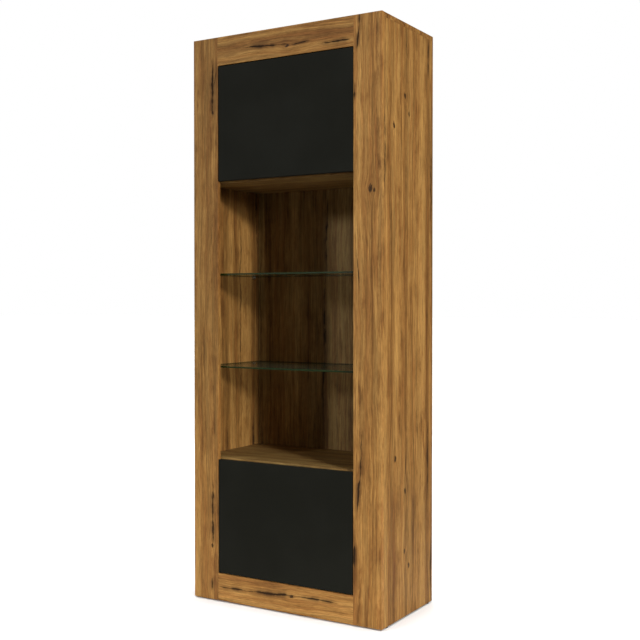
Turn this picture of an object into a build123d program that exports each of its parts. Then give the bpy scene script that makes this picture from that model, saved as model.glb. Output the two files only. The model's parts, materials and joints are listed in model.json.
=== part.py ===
from build123d import *
import os

# Tall display cabinet: an oak-look carcass behind a wide flat face frame, a cupboard with one
# black side-hung door at the bottom and another at the top, and an open bay with two glass
# shelves between them.
#
# X runs to the right along the front, Y runs from the front to the back and Z is up. The origin
# is on the floor under the middle of the cabinet. All sizes are in millimetres.

# ---------------------------------------------------------------- driving dimensions
WIDTH = 760
DEPTH = 390
HEIGHT = 2000

BOARD = 16              # carcass boards
FRAME = 16              # face frame boards
BACK_SHEET = 3          # hardboard back
BACK_MARGIN = 2         # from the back sheet's edge to the outside of the carcass
GLASS = 6
EDGE_BREAK = 0.5        # chamfer on every board edge

GLIDE_HEIGHT = 4
STILE_WIDTH = 105
RAIL_HEIGHT = 100       # from the floor, or from the top, to the door's opening
SHELF_FACE = 512        # from the floor, or from the top, to the open bay's fixed shelf face
SHELF_SETBACK = 2.5     # push-in travel between a door and the fixed shelf behind it

DOOR_GAP = 3
DOOR_ROUND = 1.5        # rounding of the door's front edges
DOOR_REVEAL = 5.5       # height of fixed shelf edge left showing beside a door

LOWER_GLASS_Z = 831     # undersides of the glass shelves
UPPER_GLASS_Z = 1162
GLASS_FRONT_SETBACK = 14
GLASS_CLEARANCE = 1.5

# ---------------------------------------------------------------- hardware sizes
DOWEL_R = 4
DOWEL_IN_FACE = 11      # depth of a dowel or bolt in the face of a board
DOWEL_IN_EDGE = 19      # depth of a dowel in the edge of a board
DOWEL_IN_RAIL = 15
DOWEL_PITCH = 32        # from a dowel to the cam beside it
HOLE_BOTTOM = 1         # room left under a dowel, bolt or stud in its hole

CAM_R = 7.5
CAM_DEPTH = 12.5
CAM_SETBACK = 34        # cam centre from the board's end
CROSS_SLOT = (1.6, 2.5) # width and depth of the screwdriver cross in a cam
BOLT_R = 3
BOLT_NECK_R = 1.5
BOLT_HEAD_R = 3.5
BOLT_HEAD_LENGTH = 3
BOLT_THREAD_R = 2.5

HOLE_PLAY = 0.1         # radial play of dowels, cams and pins in their holes
PIN_PLAY = 0.05         # radial running play of a hinge pin

FITTING_FROM_FRONT = 49 # front cams and shelf studs, from the carcass's front edge
CAM_FROM_BACK = 52
STUD_FROM_BACK = 42
GLIDE_FROM_FRONT = 29
GLIDE_FROM_BACK = 27
STILE_CAM_Z = (250, 700, 1300, 1750)
STILE_DOWEL_Z = (180, 620, 1000, 1380, 1820)
RAIL_DOWEL_AT = (30, 75)                # from the floor, or from the top

SCREW_HEAD_R = 3.2
SCREW_HEAD_H = 1.8
SCREW_HEAD_ROUND = 1.08
SCREW_R = 1.6
SCREW_LENGTH = 11
SCREW_TIP = 3           # tapered end of the shank
SCREW_TIP_R = 0.2
SCREW_SLOT = (0.8, 1.2) # width and depth of the cross in the head
CROSS_REACH = 1.1       # arm of a cross, as a share of the head's radius

NAIL_HEAD_R = 2.2
NAIL_HEAD = 0.8
NAIL_R = 0.7
NAIL_LENGTH = 20
NAILS_UP_SIDE = 13
NAILS_ACROSS = 5
NAIL_ENDS = (24, 1952)  # lowest and highest nail up a side panel
NAIL_SPREAD = 582.4     # first to last nail along a horizontal board

GLIDE_R = 7
GLIDE_PIN_R = 1
GLIDE_PIN_LENGTH = 14

STEEL = 2               # thickness of brackets and hinge arms
BRACKET_LEG = 25        # leg along the board
BRACKET_DROP = 33       # leg along the rail or the wall
BRACKET_WIDTH = 30
BRACKET_HOLE_IN = 15    # screw hole in the leg along the board
BRACKET_X = (-150, 150)
WALL_BRACKET_X = (-250, 250)
WALL_HOLE_R = 3
WALL_HOLE_DROP = 22     # wall screw, and a rail's screw, below the board

HINGE_INSET = 80        # hinge centre from the door's top or bottom edge
HINGE_HEIGHT = 16
HINGE_PIVOT_IN = 5.5    # pivot from the door's edge
HINGE_PIVOT_BACK = 6    # pivot behind the door's front face
HINGE_KNUCKLE_R = 2.8
HINGE_PIN_R = 1.5
HINGE_PIN_STAND = 0.4   # pin standing out of each lug
HINGE_PIN_CHAMFER = 0.3
HINGE_ARM_LENGTH = 58
HINGE_ARM_ROUND = 6.4
HINGE_ARM_BEND = 1.6
HINGE_ARM_SCREWS = (16, 44)             # from the stile's edge
HINGE_LUG = 2
HINGE_LUG_PLAY = 0.3
HINGE_LUG_LEFT = 2      # lug from the pivot towards the stile
HINGE_LUG_WIDTH = 5
HINGE_LUG_TAIL = 6      # how far a lug's tail lies on the leaf
HINGE_LEAF = 1.5
HINGE_LEAF_IN = 10      # leaf's near end from the door's edge
HINGE_LEAF_LENGTH = 34
HINGE_LEAF_HEIGHT = 28
HINGE_LEAF_ROUND = 8.4
HINGE_LEAF_SCREWS = (12, 26.5)          # from the leaf's near end
HINGE_POCKET_IN = 9     # from the door's edge
HINGE_POCKET_PLAY = 0.4 # between the knuckle and the pocket's floor
HINGE_POCKET_ENDS = 1   # above and below the lugs

LATCH_INSET = 30        # latch centre from the door's free edge
LATCH_SIZE = 14
LATCH_LENGTH = 70
LATCH_CHAMFER = 2
LATCH_FRONT_SETBACK = 1 # from the fixed shelf's front edge
LATCH_EAR = (32, 12, 3) # width over both ears, length and thickness
LATCH_EAR_SCREW = 12    # from the latch's middle
PLUNGER_R = 4.3
PLUNGER_PLAY = 0.2
PLUNGER_LENGTH = 44
PLUNGER_TRAVEL = 4      # room behind the plunger
MAGNET_POCKET_R = 3.3
MAGNET_DEPTH = 2
STRIKE_R = 9
STRIKE = 1
STRIKE_CHAMFER = 0.3
STRIKE_PLAY = 0.3

STUD_PIN_R = 2.5
STUD_PIN_LENGTH = 8
STUD_REACH = 11
STUD_WIDTH = 12
STUD_HEIGHT = 7
STUD_CHAMFER = 4.2
PAD_R = 4.5
PAD = 1
PAD_FROM_SIDE = 6       # pad's centre from the side panel

# ---------------------------------------------------------------- worked-out places
HALF = WIDTH / 2
FRONT = -DEPTH / 2
BACK = DEPTH / 2
INNER = HALF - BOARD                    # inner face of a side panel
CARCASS_FRONT = FRONT + FRAME
CARCASS_BACK = BACK - BACK_SHEET
SHELF_FRONT = CARCASS_FRONT + SHELF_SETBACK
OPENING = HALF - STILE_WIDTH            # inner edge of a stile
UNDER_TOP = HEIGHT - BOARD
SIDE_MID = HALF - BOARD / 2             # middle of a side panel's thickness
FRAME_MID = FRONT + FRAME / 2

BOTTOM_Z = RAIL_HEIGHT - BOARD          # undersides of the horizontal boards
LOWER_SHELF_Z = SHELF_FACE - BOARD
UPPER_SHELF_Z = HEIGHT - SHELF_FACE

DOOR_HALF = OPENING - DOOR_GAP
DOOR_LOW = RAIL_HEIGHT + DOOR_GAP
DOOR_HIGH = SHELF_FACE - DOOR_REVEAL
DOORS = {"lower": (DOOR_LOW, DOOR_HIGH), "upper": (HEIGHT - DOOR_HIGH, HEIGHT - DOOR_LOW)}
PIVOT = Vector(-DOOR_HALF + HINGE_PIVOT_IN, FRONT + HINGE_PIVOT_BACK)

CAM_Y = (CARCASS_FRONT + FITTING_FROM_FRONT, CARCASS_BACK - CAM_FROM_BACK)
DOWEL_Y = (CAM_Y[0] + DOWEL_PITCH, CAM_Y[1] - DOWEL_PITCH)
STUD_Y = (CARCASS_FRONT + FITTING_FROM_FRONT, CARCASS_BACK - STUD_FROM_BACK)
GLIDE_Y = (CARCASS_FRONT + GLIDE_FROM_FRONT, CARCASS_BACK - GLIDE_FROM_BACK)
RAIL_DOWEL_Z = {"bottom": RAIL_DOWEL_AT, "top": [HEIGHT - z for z in RAIL_DOWEL_AT]}
LATCH_X = DOOR_HALF - LATCH_INSET
LATCH_Y = SHELF_FRONT + LATCH_FRONT_SETBACK

MIN3 = (Align.MIN, Align.MIN, Align.MIN)
RISE = (Align.CENTER, Align.CENTER, Align.MIN)
SINK = (Align.CENTER, Align.CENTER, Align.MAX)
SIDES = {"left": -1, "right": 1}


# ---------------------------------------------------------------- helpers
def save(part, name):
    """Writes one finished sub-part as parts/NAME.step."""
    part.label = name
    export_step(part, f"parts/{name}.step")


def slab(low, high):
    """Adds the box between two corners to the current part."""
    with Locations(Vector(*low)):
        Box(*(b - a for a, b in zip(low, high)), align=MIN3)


def facing(points, direction):
    """Locations at the points whose own Z axis looks along the direction."""
    return [Plane(origin=point, z_dir=direction).location for point in points]


def drill(points, direction, radius, depth):
    """Blind holes in the current part. The direction looks out of their mouths."""
    with Locations(*facing(points, direction)):
        Hole(radius, depth)


def horizontal_boards():
    """(underside, side from which the cams are fitted) of the boards that sit between the sides."""
    return ((BOTTOM_Z, -1), (LOWER_SHELF_Z, -1), (UPPER_SHELF_Z, 1))


def hinge_heights(door):
    low, high = DOORS[door]
    return {"bottom": low + HINGE_INSET, "top": high - HINGE_INSET}


def latch_plane_z(door):
    """Height of the plunger's axis: the latch hangs under the lower shelf, or stands on the upper."""
    if door == "lower":
        return LOWER_SHELF_Z - LATCH_SIZE / 2
    return UPPER_SHELF_Z + BOARD + LATCH_SIZE / 2


# ---------------------------------------------------------------- carcass
def side_panel(side):
    """Upright side board under the top panel, drilled for its cams, bolts, dowels and shelf pins."""
    face = side * INNER
    inward = (-side, 0, 0)
    with BuildPart() as panel:
        slab((min(face, side * HALF), CARCASS_FRONT, GLIDE_HEIGHT),
             (max(face, side * HALF), CARCASS_BACK, UNDER_TOP))
        chamfer(panel.edges(), EDGE_BREAK)
        for z, _ in horizontal_boards():
            middle = z + BOARD / 2
            drill([(face, y, middle) for y in CAM_Y], inward, BOLT_THREAD_R + HOLE_PLAY, DOWEL_IN_FACE)
            drill([(face, y, middle) for y in DOWEL_Y], inward, DOWEL_R + HOLE_PLAY, DOWEL_IN_FACE)
        # the top panel's bolts and dowels stand in the top edge
        drill([(side * SIDE_MID, y, UNDER_TOP) for y in CAM_Y], (0, 0, 1),
              BOLT_HEAD_R + HOLE_PLAY, CAM_SETBACK)
        drill([(side * SIDE_MID, y, UNDER_TOP) for y in DOWEL_Y], (0, 0, 1),
              DOWEL_R + HOLE_PLAY, DOWEL_IN_EDGE)
        drill([(face, y, UNDER_TOP - CAM_SETBACK) for y in CAM_Y], inward, CAM_R + HOLE_PLAY, CAM_DEPTH)
        # the stile's bolts and dowels lie in the front edge
        drill([(side * SIDE_MID, CARCASS_FRONT, z) for z in STILE_CAM_Z], (0, -1, 0),
              BOLT_HEAD_R + HOLE_PLAY, CAM_SETBACK)
        drill([(side * SIDE_MID, CARCASS_FRONT, z) for z in STILE_DOWEL_Z], (0, -1, 0),
              DOWEL_R + HOLE_PLAY, DOWEL_IN_EDGE)
        drill([(face, CARCASS_FRONT + CAM_SETBACK, z) for z in STILE_CAM_Z], inward,
              CAM_R + HOLE_PLAY, CAM_DEPTH)
        for z in (LOWER_GLASS_Z, UPPER_GLASS_Z):
            drill([(face, y, stud_pin_z(z)) for y in STUD_Y], inward,
                  STUD_PIN_R + HOLE_PLAY, STUD_PIN_LENGTH + HOLE_BOTTOM)
    return panel.part


def horizontal_board(z, front, cam_side):
    """Board between the side panels, with cams let in from its underside (-1) or its top (1)."""
    cam_face = z if cam_side < 0 else z + BOARD
    middle = z + BOARD / 2
    with BuildPart() as board:
        slab((-INNER, front, z), (INNER, CARCASS_BACK, z + BOARD))
        chamfer(board.edges(), EDGE_BREAK)
        for side in SIDES.values():
            end, outward = side * INNER, (side, 0, 0)
            drill([(end, y, middle) for y in CAM_Y], outward, BOLT_HEAD_R + HOLE_PLAY, CAM_SETBACK)
            drill([(end, y, middle) for y in DOWEL_Y], outward, DOWEL_R + HOLE_PLAY, DOWEL_IN_EDGE)
            drill([(end - side * CAM_SETBACK, y, cam_face) for y in CAM_Y], (0, 0, cam_side),
                  CAM_R + HOLE_PLAY, CAM_DEPTH)
    return board.part


def top_panel():
    """Top board, lying on the side panels and closed at the front by the face frame."""
    with BuildPart() as panel:
        slab((-HALF, CARCASS_FRONT, UNDER_TOP), (HALF, CARCASS_BACK, HEIGHT))
        chamfer(panel.edges(), EDGE_BREAK)
        for side in SIDES.values():
            x = side * SIDE_MID
            drill([(x, y, UNDER_TOP) for y in CAM_Y], (0, 0, -1), BOLT_THREAD_R + HOLE_PLAY, DOWEL_IN_FACE)
            drill([(x, y, UNDER_TOP) for y in DOWEL_Y], (0, 0, -1), DOWEL_R + HOLE_PLAY, DOWEL_IN_FACE)
    return panel.part


def back_panel():
    """Thin back sheet nailed over the boards' back edges, with two holes for the wall screws."""
    with BuildPart() as sheet:
        slab((-HALF + BACK_MARGIN, CARCASS_BACK, GLIDE_HEIGHT + BACK_MARGIN),
             (HALF - BACK_MARGIN, BACK, HEIGHT - BACK_MARGIN))
        drill([(x, BACK, UNDER_TOP - WALL_HOLE_DROP) for x in WALL_BRACKET_X], (0, 1, 0),
              WALL_HOLE_R, BACK_SHEET)
    return sheet.part


# ---------------------------------------------------------------- face frame
def stile(side):
    """Full-height upright of the face frame."""
    inner, outer = side * OPENING, side * HALF
    with BuildPart() as board:
        slab((min(inner, outer), FRONT, GLIDE_HEIGHT), (max(inner, outer), CARCASS_FRONT, HEIGHT))
        chamfer(board.edges(), EDGE_BREAK)
        drill([(side * SIDE_MID, CARCASS_FRONT, z) for z in STILE_CAM_Z], (0, 1, 0),
              BOLT_THREAD_R + HOLE_PLAY, DOWEL_IN_FACE)
        drill([(side * SIDE_MID, CARCASS_FRONT, z) for z in STILE_DOWEL_Z], (0, 1, 0),
              DOWEL_R + HOLE_PLAY, DOWEL_IN_FACE)
        for heights in RAIL_DOWEL_Z.values():
            drill([(inner, FRAME_MID, z) for z in heights], (-side, 0, 0), DOWEL_R + HOLE_PLAY, DOWEL_IN_RAIL)
    return board.part


def rail(place):
    """Board of the face frame between the stiles, at the bottom or at the top."""
    low, high = (GLIDE_HEIGHT, RAIL_HEIGHT) if place == "bottom" else (HEIGHT - RAIL_HEIGHT, HEIGHT)
    with BuildPart() as board:
        slab((-OPENING, FRONT, low), (OPENING, CARCASS_FRONT, high))
        chamfer(board.edges(), EDGE_BREAK)
        for side in SIDES.values():
            drill([(side * OPENING, FRAME_MID, z) for z in RAIL_DOWEL_Z[place]], (side, 0, 0),
                  DOWEL_R + HOLE_PLAY, DOWEL_IN_RAIL)
    return board.part


# ---------------------------------------------------------------- glass shelves
def glass_shelf(z):
    """Clear glass plate with ground edges."""
    with BuildPart() as plate:
        slab((-INNER + GLASS_CLEARANCE, CARCASS_FRONT + GLASS_FRONT_SETBACK, z),
             (INNER - GLASS_CLEARANCE, CARCASS_BACK - GLASS_CLEARANCE, z + GLASS))
        chamfer(plate.edges(), EDGE_BREAK)
    return plate.part


def stud_pin_z(glass_z):
    return glass_z - PAD - STUD_HEIGHT / 2


def shelf_supports(glass_z):
    """Four metal studs, each a peg in the side panel and a block under the glass."""
    top = glass_z - PAD
    with BuildPart() as studs:
        for side in SIDES.values():
            face = side * INNER
            with Locations(*facing([(face, y, stud_pin_z(glass_z)) for y in STUD_Y], (-side, 0, 0))):
                Cylinder(STUD_PIN_R, STUD_PIN_LENGTH, align=SINK)
            near, far = sorted((face, face - side * STUD_REACH))
            for y in STUD_Y:
                slab((near, y - STUD_WIDTH / 2, top - STUD_HEIGHT), (far, y + STUD_WIDTH / 2, top))
        lower = studs.edges().filter_by(Axis.Y).group_by(Axis.Z)[0]
        tips = [edge for edge in lower if abs(edge.center().X) < INNER - STUD_REACH / 2]
        chamfer(tips, STUD_CHAMFER)
    return studs.part


def shelf_pads(glass_z):
    """Soft clear pads between the studs and the glass."""
    centres = [(side * (INNER - PAD_FROM_SIDE), y, glass_z - PAD) for side in SIDES.values() for y in STUD_Y]
    with BuildPart() as pads:
        with Locations(*centres):
            Cylinder(PAD_R, PAD, align=RISE)
    return pads.part


# ---------------------------------------------------------------- knock-down fittings
def bolt_places():
    """Where each bolt is screwed in: on the face of a board, looking towards its cam."""
    places = []
    for side in SIDES.values():
        for z, _ in horizontal_boards():
            places += facing([(side * INNER, y, z + BOARD / 2) for y in CAM_Y], (-side, 0, 0))
        places += facing([(side * SIDE_MID, y, UNDER_TOP) for y in CAM_Y], (0, 0, -1))
        places += facing([(side * SIDE_MID, CARCASS_FRONT, z) for z in STILE_CAM_Z], (0, 1, 0))
    return places


def cam_bolt():
    """Threaded end, shank and head of one cam bolt, standing on the face it is screwed into."""
    with BuildPart() as bolt:
        Cylinder(BOLT_THREAD_R, DOWEL_IN_FACE - HOLE_BOTTOM, align=SINK)
        Cylinder(BOLT_R, CAM_SETBACK, align=RISE)
        with Locations((0, 0, CAM_SETBACK)):
            Cylinder(BOLT_HEAD_R, BOLT_HEAD_LENGTH, align=SINK)
        with Locations((0, 0, CAM_SETBACK - BOLT_HEAD_LENGTH)):
            Cylinder(BOLT_HEAD_R, BOLT_HEAD_LENGTH, align=SINK, mode=Mode.SUBTRACT)
            Cylinder(BOLT_NECK_R, BOLT_HEAD_LENGTH, align=SINK)
    return bolt.part


def cam_bolts():
    bolt = cam_bolt()
    with BuildPart() as bolts:
        with Locations(*bolt_places()):
            add(bolt)
    return bolts.part


def cam_places():
    """(place on the board's face looking out, direction towards the bolt) of each cam."""
    places = []
    for side in SIDES.values():
        for z, cam_side in horizontal_boards():
            face = z if cam_side < 0 else z + BOARD
            x = side * (INNER - CAM_SETBACK)
            places += [((x, y, face), (0, 0, cam_side), (side, 0, 0)) for y in CAM_Y]
        wall, inward = side * INNER, (-side, 0, 0)
        places += [((wall, y, UNDER_TOP - CAM_SETBACK), inward, (0, 0, 1)) for y in CAM_Y]
        places += [((wall, CARCASS_FRONT + CAM_SETBACK, z), inward, (0, -1, 0)) for z in STILE_CAM_Z]
    return [Plane(origin=o, z_dir=out, x_dir=bolt).location for o, out, bolt in places]


def cam_lock():
    """One eccentric cam: a drum with a mouth for the bolt's head and a cross for the screwdriver."""
    width, deep = CROSS_SLOT
    with BuildPart() as cam:
        Cylinder(CAM_R, CAM_DEPTH, align=SINK)
        with Locations(Location((0, 0, -BOARD / 2), (0, 90, 0))):
            Cylinder(BOLT_HEAD_R + HOLE_PLAY, CAM_R, align=RISE, mode=Mode.SUBTRACT)
        with Locations((0, 0, -BOARD / 2)):
            Sphere(BOLT_HEAD_R + HOLE_PLAY, mode=Mode.SUBTRACT)
        for turn in (0, 90):
            with Locations(Location((0, 0, 0), (0, 0, turn))):
                Box(CAM_R * CROSS_REACH, width, deep, align=SINK, mode=Mode.SUBTRACT)
    return cam.part


def cam_locks():
    cam = cam_lock()
    with BuildPart() as cams:
        with Locations(*cam_places()):
            add(cam)
    return cams.part


def wooden_dowels():
    """Every dowel: those of the boards run a stated depth each way from the joint's face."""
    board_ends, frame_ends = [], []
    for side in SIDES.values():
        for z, _ in horizontal_boards():
            board_ends += facing([(side * INNER, y, z + BOARD / 2) for y in DOWEL_Y], (-side, 0, 0))
        board_ends += facing([(side * SIDE_MID, y, UNDER_TOP) for y in DOWEL_Y], (0, 0, -1))
        board_ends += facing([(side * SIDE_MID, CARCASS_FRONT, z) for z in STILE_DOWEL_Z], (0, 1, 0))
        for heights in RAIL_DOWEL_Z.values():
            frame_ends += facing([(side * OPENING, FRAME_MID, z) for z in heights], (side, 0, 0))
    with BuildPart() as dowels:
        with Locations(*board_ends):
            Cylinder(DOWEL_R, DOWEL_IN_FACE - HOLE_BOTTOM, align=SINK)
            Cylinder(DOWEL_R, DOWEL_IN_EDGE - HOLE_BOTTOM, align=RISE)
        with Locations(*frame_ends):
            Cylinder(DOWEL_R, 2 * (DOWEL_IN_RAIL - HOLE_BOTTOM))
    return dowels.part


# ---------------------------------------------------------------- screws, nails and brackets
def pan_screw():
    """Cross-head screw whose head stands on the surface and whose shank goes below it."""
    arm = SCREW_HEAD_R * CROSS_REACH
    width, deep = SCREW_SLOT
    with BuildPart() as screw:
        Cylinder(SCREW_HEAD_R, SCREW_HEAD_H, align=RISE)
        fillet(screw.edges().group_by(Axis.Z)[-1], SCREW_HEAD_ROUND)
        Cylinder(SCREW_R, SCREW_LENGTH - SCREW_TIP, align=SINK)
        with Locations((0, 0, SCREW_TIP - SCREW_LENGTH)):
            Cone(SCREW_TIP_R, SCREW_R, SCREW_TIP, align=SINK)
        with Locations((0, 0, SCREW_HEAD_H)):
            Box(arm, width, deep, align=SINK, mode=Mode.SUBTRACT)
            Box(width, arm, deep, align=SINK, mode=Mode.SUBTRACT)
    return screw.part


def screw_group(places):
    screw = pan_screw()
    with BuildPart() as screws:
        with Locations(*places):
            add(screw)
    return screws.part


def angle_bracket(hole_r):
    """Steel angle under a board: one leg on the board's underside, one hanging at its back."""
    with BuildPart() as bracket:
        with BuildSketch(Plane.YZ):
            with BuildLine():
                Polyline((0, 0), (-BRACKET_LEG, 0), (-BRACKET_LEG, -STEEL), (-STEEL, -STEEL),
                         (-STEEL, -BRACKET_DROP), (0, -BRACKET_DROP), close=True)
            make_face()
        extrude(amount=BRACKET_WIDTH / 2, both=True)
        inside = bracket.edges().filter_by(Axis.X).sort_by_distance(Vector(0, -STEEL, -STEEL))[0]
        fillet(inside, STEEL)
        drill([(0, -BRACKET_HOLE_IN, -STEEL)], (0, 0, -1), SCREW_R + HOLE_PLAY, STEEL)
        drill([(0, -STEEL, -WALL_HOLE_DROP)], (0, -1, 0), hole_r, STEEL)
    return bracket.part


def wall_brackets():
    """Two angles under the top panel that hold the cabinet to the wall through the back sheet."""
    bracket = angle_bracket(WALL_HOLE_R)
    with BuildPart() as brackets:
        with Locations(*[(x, CARCASS_BACK, UNDER_TOP) for x in WALL_BRACKET_X]):
            add(bracket)
    return brackets.part


def rail_bracket_places():
    """Places of the four angles behind the rails, turned so that one leg lies on the rail's back."""
    spots = []
    for x in BRACKET_X:
        spots.append(Location((x, CARCASS_FRONT, UNDER_TOP), (0, 0, 180)))
        spots.append(Location((x, CARCASS_FRONT, BOTTOM_Z), (0, 0, 180)))
    return spots


def rail_brackets():
    bracket = angle_bracket(SCREW_R + HOLE_PLAY)
    with BuildPart() as brackets:
        with Locations(*rail_bracket_places()):
            add(bracket)
    return brackets.part


def bracket_screw_places():
    """Screws up into the boards through every angle, and forward into the rails."""
    rows = [(x, z) for x in BRACKET_X for z in (UNDER_TOP, BOTTOM_Z)]
    up = [(x, CARCASS_FRONT + BRACKET_HOLE_IN, z - STEEL) for x, z in rows]
    up += [(x, CARCASS_BACK - BRACKET_HOLE_IN, UNDER_TOP - STEEL) for x in WALL_BRACKET_X]
    forward = [(x, CARCASS_FRONT + STEEL, z - WALL_HOLE_DROP) for x, z in rows]
    return facing(up, (0, 0, -1)) + facing(forward, (0, 1, 0))


def evenly(first, last, count):
    return [first + (last - first) * i / (count - 1) for i in range(count)]


def back_panel_nails():
    """Flush nails up both edges of the back sheet and along every board behind it."""
    rows = [z + BOARD / 2 for z, _ in horizontal_boards()] + [UNDER_TOP + BOARD / 2]
    columns = evenly(-NAIL_SPREAD / 2, NAIL_SPREAD / 2, NAILS_ACROSS)
    points = [(side * SIDE_MID, BACK, z) for side in SIDES.values() for z in evenly(*NAIL_ENDS, NAILS_UP_SIDE)]
    points += [(x, BACK, z) for z in rows for x in columns]
    with BuildPart() as nails:
        with Locations(*facing(points, (0, 1, 0))):
            Cylinder(NAIL_HEAD_R, NAIL_HEAD, align=SINK)
            Cylinder(NAIL_R, NAIL_LENGTH, align=SINK)
    return nails.part


def floor_glides():
    """Four plastic glides nailed under the side panels."""
    with BuildPart() as glides:
        with Locations(*[(side * SIDE_MID, y, 0) for side in SIDES.values() for y in GLIDE_Y]):
            Cylinder(GLIDE_R, GLIDE_HEIGHT, align=RISE)
            Cylinder(GLIDE_PIN_R, GLIDE_HEIGHT + GLIDE_PIN_LENGTH, align=RISE)
    return glides.part


# ---------------------------------------------------------------- doors
def door(name):
    """Inset door with rounded front edges and a pocket for each hinge in its left edge."""
    low, high = DOORS[name]
    pocket_depth = HINGE_PIVOT_BACK - HINGE_KNUCKLE_R - HINGE_POCKET_PLAY
    pocket_half = HINGE_HEIGHT / 2 + HINGE_LUG_PLAY + HINGE_LUG + HINGE_POCKET_ENDS
    with BuildPart() as leaf:
        slab((-DOOR_HALF, FRONT, low), (DOOR_HALF, CARCASS_FRONT, high))
        front_edges = leaf.faces().sort_by(Axis.Y)[0].edges()
        back_edges = leaf.faces().sort_by(Axis.Y)[-1].edges()
        fillet(front_edges, DOOR_ROUND)
        chamfer(back_edges, EDGE_BREAK)
        for z in hinge_heights(name).values():
            with Locations((-DOOR_HALF, FRONT + pocket_depth, z - pocket_half)):
                Box(HINGE_POCKET_IN, FRAME, 2 * pocket_half, align=MIN3, mode=Mode.SUBTRACT)
    return leaf.part


def hinge_arm(z):
    """Bent steel arm: a foot on the back of the stile, and a neck with the eye for the pin."""
    neck_right = PIVOT.X + STEEL / 2
    foot_left = -OPENING - HINGE_ARM_LENGTH
    with BuildPart() as arm:
        with BuildSketch(Plane.XY.offset(z - HINGE_HEIGHT / 2)):
            with BuildLine():
                Polyline((foot_left, CARCASS_FRONT), (foot_left, CARCASS_FRONT + STEEL),
                         (neck_right, CARCASS_FRONT + STEEL), (neck_right, PIVOT.Y),
                         (neck_right - STEEL, PIVOT.Y), (neck_right - STEEL, CARCASS_FRONT), close=True)
            make_face()
            with Locations((PIVOT.X, PIVOT.Y)):
                Circle(HINGE_KNUCKLE_R)
                Circle(HINGE_PIN_R + PIN_PLAY, mode=Mode.SUBTRACT)
        extrude(amount=HINGE_HEIGHT)
        bend = arm.edges().filter_by(Axis.Z).sort_by_distance(
            Vector(neck_right, CARCASS_FRONT + STEEL, z))[0]
        fillet(bend, HINGE_ARM_BEND)
        foot_end = arm.faces().sort_by(Axis.X)[0]
        fillet(foot_end.edges().filter_by(Axis.Y), HINGE_ARM_ROUND)
        drill(arm_screw_points(z), (0, 1, 0), SCREW_R + HOLE_PLAY, STEEL)
    return arm.part


def arm_screw_points(z):
    return [(-OPENING - x, CARCASS_FRONT + STEEL, z) for x in HINGE_ARM_SCREWS]


def hinge_leaf(z):
    """Door side of the hinge: a flange on the door's back, with a lug above and below the arm."""
    near = -DOOR_HALF + HINGE_LEAF_IN
    back = CARCASS_FRONT + HINGE_LEAF
    lug_left = PIVOT.X - HINGE_LUG_LEFT
    lug_right = lug_left + HINGE_LUG_WIDTH
    clear = HINGE_HEIGHT / 2 + HINGE_LUG_PLAY
    with BuildPart() as leaf:
        slab((near, CARCASS_FRONT, z - HINGE_LEAF_HEIGHT / 2),
             (near + HINGE_LEAF_LENGTH, back, z + HINGE_LEAF_HEIGHT / 2))
        far_end = leaf.faces().sort_by(Axis.X)[-1]
        fillet(far_end.edges().filter_by(Axis.Y), HINGE_LEAF_ROUND)
        for base in (z + clear, z - clear - HINGE_LUG):
            with BuildSketch(Plane.XY.offset(base)):
                with BuildLine():
                    Polyline((lug_left, PIVOT.Y), (lug_right, PIVOT.Y), (lug_right, CARCASS_FRONT),
                             (near + HINGE_LUG_TAIL, CARCASS_FRONT), (near + HINGE_LUG_TAIL, back),
                             (lug_left, back), close=True)
                make_face()
                with Locations((PIVOT.X, PIVOT.Y)):
                    Circle(HINGE_KNUCKLE_R)
                    Circle(HINGE_PIN_R, mode=Mode.SUBTRACT)
            extrude(amount=HINGE_LUG)
        drill(leaf_screw_points(z), (0, 1, 0), SCREW_R + HOLE_PLAY, HINGE_LEAF)
    return leaf.part


def leaf_screw_points(z):
    near = -DOOR_HALF + HINGE_LEAF_IN
    return [(near + x, CARCASS_FRONT + HINGE_LEAF, z) for x in HINGE_LEAF_SCREWS]


def hinge_pin(z):
    """Steel pin through both lugs and the arm's eye."""
    length = HINGE_HEIGHT + 2 * (HINGE_LUG_PLAY + HINGE_LUG + HINGE_PIN_STAND)
    with BuildPart() as pin:
        with Locations((PIVOT.X, PIVOT.Y, z)):
            Cylinder(HINGE_PIN_R, length)
        chamfer(pin.edges().filter_by(GeomType.CIRCLE), HINGE_PIN_CHAMFER)
    return pin.part


# ---------------------------------------------------------------- push latches
def shelf_way(name):
    """Which way the fixed shelf lies from the latch: up (1) or down (-1)."""
    return 1 if name == "lower" else -1


def latch_housing(name):
    """Plastic body of the push latch, with a bore for the plunger and ears for its two screws."""
    z = latch_plane_z(name)
    ear_width, ear_length, ear = LATCH_EAR
    half = LATCH_SIZE / 2
    ear_low, ear_high = sorted((z + shelf_way(name) * half, z + shelf_way(name) * (half - ear)))
    middle = LATCH_Y + LATCH_LENGTH / 2
    with BuildPart() as body:
        slab((LATCH_X - half, LATCH_Y, z - half), (LATCH_X + half, LATCH_Y + LATCH_LENGTH, z + half))
        chamfer(body.edges().filter_by(Axis.Y), LATCH_CHAMFER)
        slab((LATCH_X - ear_width / 2, middle - ear_length / 2, ear_low),
             (LATCH_X + ear_width / 2, middle + ear_length / 2, ear_high))
        drill([(LATCH_X, LATCH_Y, z)], (0, -1, 0), PLUNGER_R + PLUNGER_PLAY, PLUNGER_LENGTH + PLUNGER_TRAVEL)
        drill(latch_screw_points(name), (0, 0, -shelf_way(name)), SCREW_R + HOLE_PLAY, ear)
    return body.part


def latch_screw_points(name):
    height = latch_plane_z(name) + shelf_way(name) * (LATCH_SIZE / 2 - LATCH_EAR[2])
    return [(LATCH_X + dx, LATCH_Y + LATCH_LENGTH / 2, height) for dx in (-LATCH_EAR_SCREW, LATCH_EAR_SCREW)]


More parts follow.
